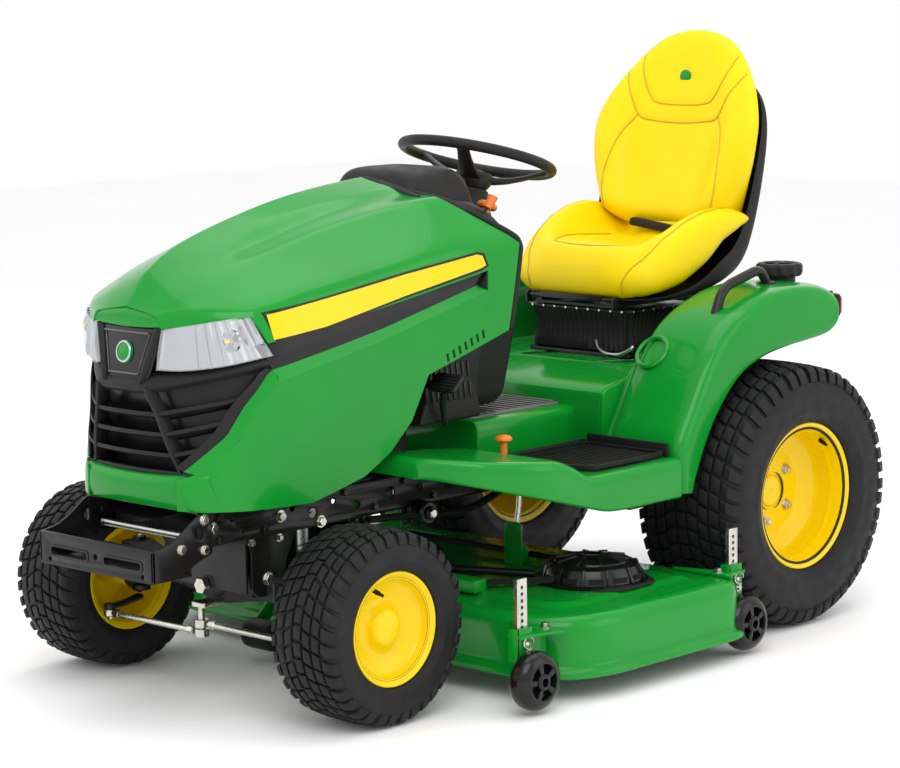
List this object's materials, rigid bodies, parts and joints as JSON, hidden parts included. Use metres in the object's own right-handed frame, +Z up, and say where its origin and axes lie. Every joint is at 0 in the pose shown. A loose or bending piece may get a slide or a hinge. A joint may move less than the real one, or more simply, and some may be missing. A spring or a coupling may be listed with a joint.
{
  "type": "riding lawn mower",
  "caption": "Riding lawn mower with tilting hood, cushioned seat, steering wheel, steered front axle and a lifting mid-mounted mower deck with side chute.",
  "frame": {"origin": "on the ground below the middle of the whole machine's box, chute down", "axes": "+X is the mower's left, +Y its rear, +Z up"},
  "size_m": [1.618, 1.972, 1.355],
  "materials": {
    "green_paint": "glossy green paint",
    "yellow_paint": "glossy yellow paint",
    "black_paint": "satin black paint",
    "black_plastic": "fine-grained black plastic",
    "gloss_black_plastic": "smooth black plastic",
    "orange_plastic": "smooth orange plastic",
    "seat_vinyl": "soft yellow vinyl",
    "rubber": "black rubber",
    "tyre_rubber": "black tyre rubber",
    "bare_steel": "zinc-plated steel",
    "cast_iron": "black cast iron",
    "engine_alloy": "cast aluminium",
    "lens_clear": "clear ribbed lens"
  },
  "bodies": {
    "chassis": {"left_frame_rail": "black_paint", "right_frame_rail": "black_paint", "front_bumper": "black_paint", "axle_hanger": "black_paint", "hitch_plate": "black_paint", "transaxle": "cast_iron", "engine": "engine_alloy", "fuel_tank": "black_plastic", "fender_deck": "green_paint", "footrests": "green_paint", "footrest_mats": "rubber", "tunnel_cover": "green_paint", "dash_tower": "black_plastic", "grab_handles": "black_paint", "seat_suspension": "black_plastic"},
    "hood": {"hood_shell": "green_paint", "front_grille": "black_plastic", "headlight_lenses": "lens_clear"},
    "steering": {"steering_shaft": "black_paint", "steering_wheel": "gloss_black_plastic"},
    "front_axle": {"front_axle_beam": "cast_iron"},
    "left_knuckle": {"left_knuckle": "black_paint"},
    "right_knuckle": {"right_knuckle": "black_paint"},
    "left_tie_rod": {"left_tie_rod": "bare_steel"},
    "right_tie_rod": {"right_tie_rod": "bare_steel"},
    "sector": {"steering_sector": "bare_steel"},
    "left_front_wheel": {"left_front_tyre": "tyre_rubber", "left_front_rim": "yellow_paint"},
    "right_front_wheel": {"right_front_tyre": "tyre_rubber", "right_front_rim": "yellow_paint"},
    "left_rear_wheel": {"left_rear_tyre": "tyre_rubber", "left_rear_rim": "yellow_paint"},
    "right_rear_wheel": {"right_rear_tyre": "tyre_rubber", "right_rear_rim": "yellow_paint"},
    "pto_drive": {"pto_pulley": "bare_steel"},
    "deck": {"deck_shell": "green_paint", "belt_covers": "black_plastic", "deck_belt": "rubber"},
    "left_cutter": {"left_spindle": "black_paint", "left_blade": "bare_steel"},
    "centre_cutter": {"centre_spindle": "black_paint", "centre_blade": "bare_steel"},
    "right_cutter": {"right_spindle": "black_paint", "right_blade": "bare_steel"},
    "chute": {"discharge_chute": "black_plastic"},
    "left_front_gauge": {"left_front_gauge_wheel": "black_plastic"},
    "right_front_gauge": {"right_front_gauge_wheel": "black_plastic"},
    "left_rear_gauge": {"left_rear_gauge_wheel": "black_plastic"},
    "right_rear_gauge": {"right_rear_gauge_wheel": "black_plastic"},
    "roller": {"deck_roller": "black_plastic"},
    "seat_carriage": {"seat_slides": "black_paint"},
    "seat": {"seat_shell": "black_plastic", "seat_cushion": "seat_vinyl", "seat_backrest": "seat_vinyl"},
    "brake": {"brake_pedal": "black_paint"},
    "forward": {"forward_pedal": "rubber"},
    "reverse": {"reverse_pedal": "rubber"},
    "diff_lock": {"diff_lock_button": "orange_plastic"},
    "pto_switch": {"pto_knob": "orange_plastic"},
    "cap": {"fuel_cap": "black_plastic"}
  },
  "joints": [
    {"name": "hood_hinge", "type": "hinge", "parent": "chassis", "child": "hood", "pos_m": [0.145, -0.876, 0.43], "axis": [1, 0, 0], "range_deg": [0, 65]},
    {"name": "steering_turn", "type": "hinge", "parent": "chassis", "child": "steering", "pos_m": [0.145, 0.168, 1.089], "axis": [0, 0.2874, 0.9578], "range_deg": [-192, 192]},
    {"name": "axle_pivot", "type": "hinge", "parent": "chassis", "child": "front_axle", "pos_m": [0.145, -0.611, 0.25], "axis": [0, 1, 0], "range_deg": [-4, 4]},
    {"name": "left_steer", "type": "hinge", "parent": "front_axle", "child": "left_knuckle", "pos_m": [0.445, -0.611, 0.2], "axis": [0, 0, 1], "range_deg": [-32, 32]},
    {"name": "right_steer", "type": "hinge", "parent": "front_axle", "child": "right_knuckle", "pos_m": [-0.155, -0.611, 0.2], "axis": [0, 0, 1], "range_deg": [-32, 32]},
    {"name": "sector_turn", "type": "hinge", "parent": "front_axle", "child": "sector", "pos_m": [0.145, -0.611, 0.2], "axis": [0, 0, 1], "range_deg": [-32, 32]},
    {"name": "left_rod_pivot", "type": "hinge", "parent": "left_knuckle", "child": "left_tie_rod", "pos_m": [0.445, -0.701, 0.16], "axis": [0, 0, 1], "range_deg": [-32, 32]},
    {"name": "left_front_wheel_spin", "type": "hinge", "parent": "left_knuckle", "child": "left_front_wheel", "pos_m": [0.5525, -0.611, 0.202], "axis": [1, 0, 0], "continuous": true},
    {"name": "left_rear_wheel_spin", "type": "hinge", "parent": "chassis", "child": "left_rear_wheel", "pos_m": [0.583, 0.659, 0.304], "axis": [1, 0, 0], "continuous": true},
    {"name": "left_front_gauge_spin", "type": "hinge", "parent": "deck", "child": "left_front_gauge", "pos_m": [0.777, -0.356, 0.072], "axis": [1, 0, 0], "continuous": true},
    {"name": "left_rear_gauge_spin", "type": "hinge", "parent": "deck", "child": "left_rear_gauge", "pos_m": [0.777, 0.342, 0.072], "axis": [1, 0, 0], "continuous": true},
    {"name": "right_rod_pivot", "type": "hinge", "parent": "right_knuckle", "child": "right_tie_rod", "pos_m": [-0.155, -0.701, 0.14], "axis": [0, 0, 1], "range_deg": [-32, 32]},
    {"name": "right_front_wheel_spin", "type": "hinge", "parent": "right_knuckle", "child": "right_front_wheel", "pos_m": [-0.2625, -0.611, 0.202], "axis": [1, 0, 0], "continuous": true},
    {"name": "right_rear_wheel_spin", "type": "hinge", "parent": "chassis", "child": "right_rear_wheel", "pos_m": [-0.293, 0.659, 0.304], "axis": [1, 0, 0], "continuous": true},
    {"name": "right_front_gauge_spin", "type": "hinge", "parent": "deck", "child": "right_front_gauge", "pos_m": [-0.487, -0.356, 0.072], "axis": [1, 0, 0], "continuous": true},
    {"name": "right_rear_gauge_spin", "type": "hinge", "parent": "deck", "child": "right_rear_gauge", "pos_m": [-0.487, 0.342, 0.072], "axis": [1, 0, 0], "continuous": true},
    {"name": "pto_spin", "type": "hinge", "parent": "chassis", "child": "pto_drive", "pos_m": [0.145, -0.466, 0.204], "axis": [0, 0, 1], "continuous": true},
    {"name": "deck_lift", "type": "slide", "parent": "chassis", "child": "deck", "axis": [0, 0, 1], "range_m": [0, 0.06], "deforming": ["deck_belt"]},
    {"name": "left_cutter_spin", "type": "hinge", "parent": "deck", "child": "left_cutter", "pos_m": [0.575, 0.059, 0.1], "axis": [0, 0, 1], "continuous": true},
    {"name": "centre_cutter_spin", "type": "hinge", "parent": "deck", "child": "centre_cutter", "pos_m": [0.145, -0.056, 0.1], "axis": [0, 0, 1], "continuous": true},
    {"name": "right_cutter_spin", "type": "hinge", "parent": "deck", "child": "right_cutter", "pos_m": [-0.285, 0.059, 0.1], "axis": [0, 0, 1], "continuous": true},
    {"name": "chute_flap", "type": "hinge", "parent": "deck", "child": "chute", "pos_m": [-0.514, 0.024, 0.18], "axis": [0, 1, 0], "range_deg": [0, 95]},
    {"name": "roller_spin", "type": "hinge", "parent": "deck", "child": "roller", "pos_m": [0.007, -0.396, 0.06], "axis": [1, 0, 0], "continuous": true},
    {"name": "seat_adjust", "type": "slide", "parent": "chassis", "child": "seat_carriage", "axis": [0, 1, 0], "range_m": [-0.05, 0.05]},
    {"name": "seat_tilt", "type": "hinge", "parent": "seat_carriage", "child": "seat", "pos_m": [0.145, 0.488, 0.741], "axis": [1, 0, 0], "range_deg": [0, 60]},
    {"name": "brake_press", "type": "hinge", "parent": "chassis", "child": "brake", "pos_m": [0.392, -0.23, 0.652], "axis": [1, 0, 0], "range_deg": [-14, 0], "stiffness_Nm_per_rad": 6, "springref_deg": 5.73},
    {"name": "forward_press", "type": "hinge", "parent": "chassis", "child": "forward", "pos_m": [-0.155, -0.186, 0.512], "axis": [1, 0, 0], "range_deg": [0, 12], "stiffness_Nm_per_rad": 3},
    {"name": "reverse_press", "type": "hinge", "parent": "chassis", "child": "reverse", "pos_m": [-0.245, -0.146, 0.512], "axis": [1, 0, 0], "range_deg": [-12, 0], "stiffness_Nm_per_rad": 3},
    {"name": "diff_lock_press", "type": "slide", "parent": "chassis", "child": "diff_lock", "axis": [0, 0, 1], "range_m": [-0.012, 0], "stiffness_N_per_m": 400},
    {"name": "pto_pull", "type": "slide", "parent": "chassis", "child": "pto_switch", "axis": [0, 0, 1], "range_m": [0, 0.012]},
    {"name": "cap_lift", "type": "slide", "parent": "chassis", "child": "cap", "axis": [0, 0, 1], "range_m": [0, 0.05]}
  ],
  "couplings": [
    {"joint": "right_steer", "follows": "left_steer", "ratio": 1},
    {"joint": "sector_turn", "follows": "left_steer", "ratio": 1},
    {"joint": "steering_turn", "follows": "left_steer", "ratio": 6},
    {"joint": "left_rod_pivot", "follows": "left_steer", "ratio": -1},
    {"joint": "right_rod_pivot", "follows": "left_steer", "ratio": -1},
    {"joint": "left_cutter_spin", "follows": "centre_cutter_spin", "ratio": 1},
    {"joint": "right_cutter_spin", "follows": "centre_cutter_spin", "ratio": 1},
    {"joint": "pto_spin", "follows": "centre_cutter_spin", "ratio": 1.0333}
  ]
}
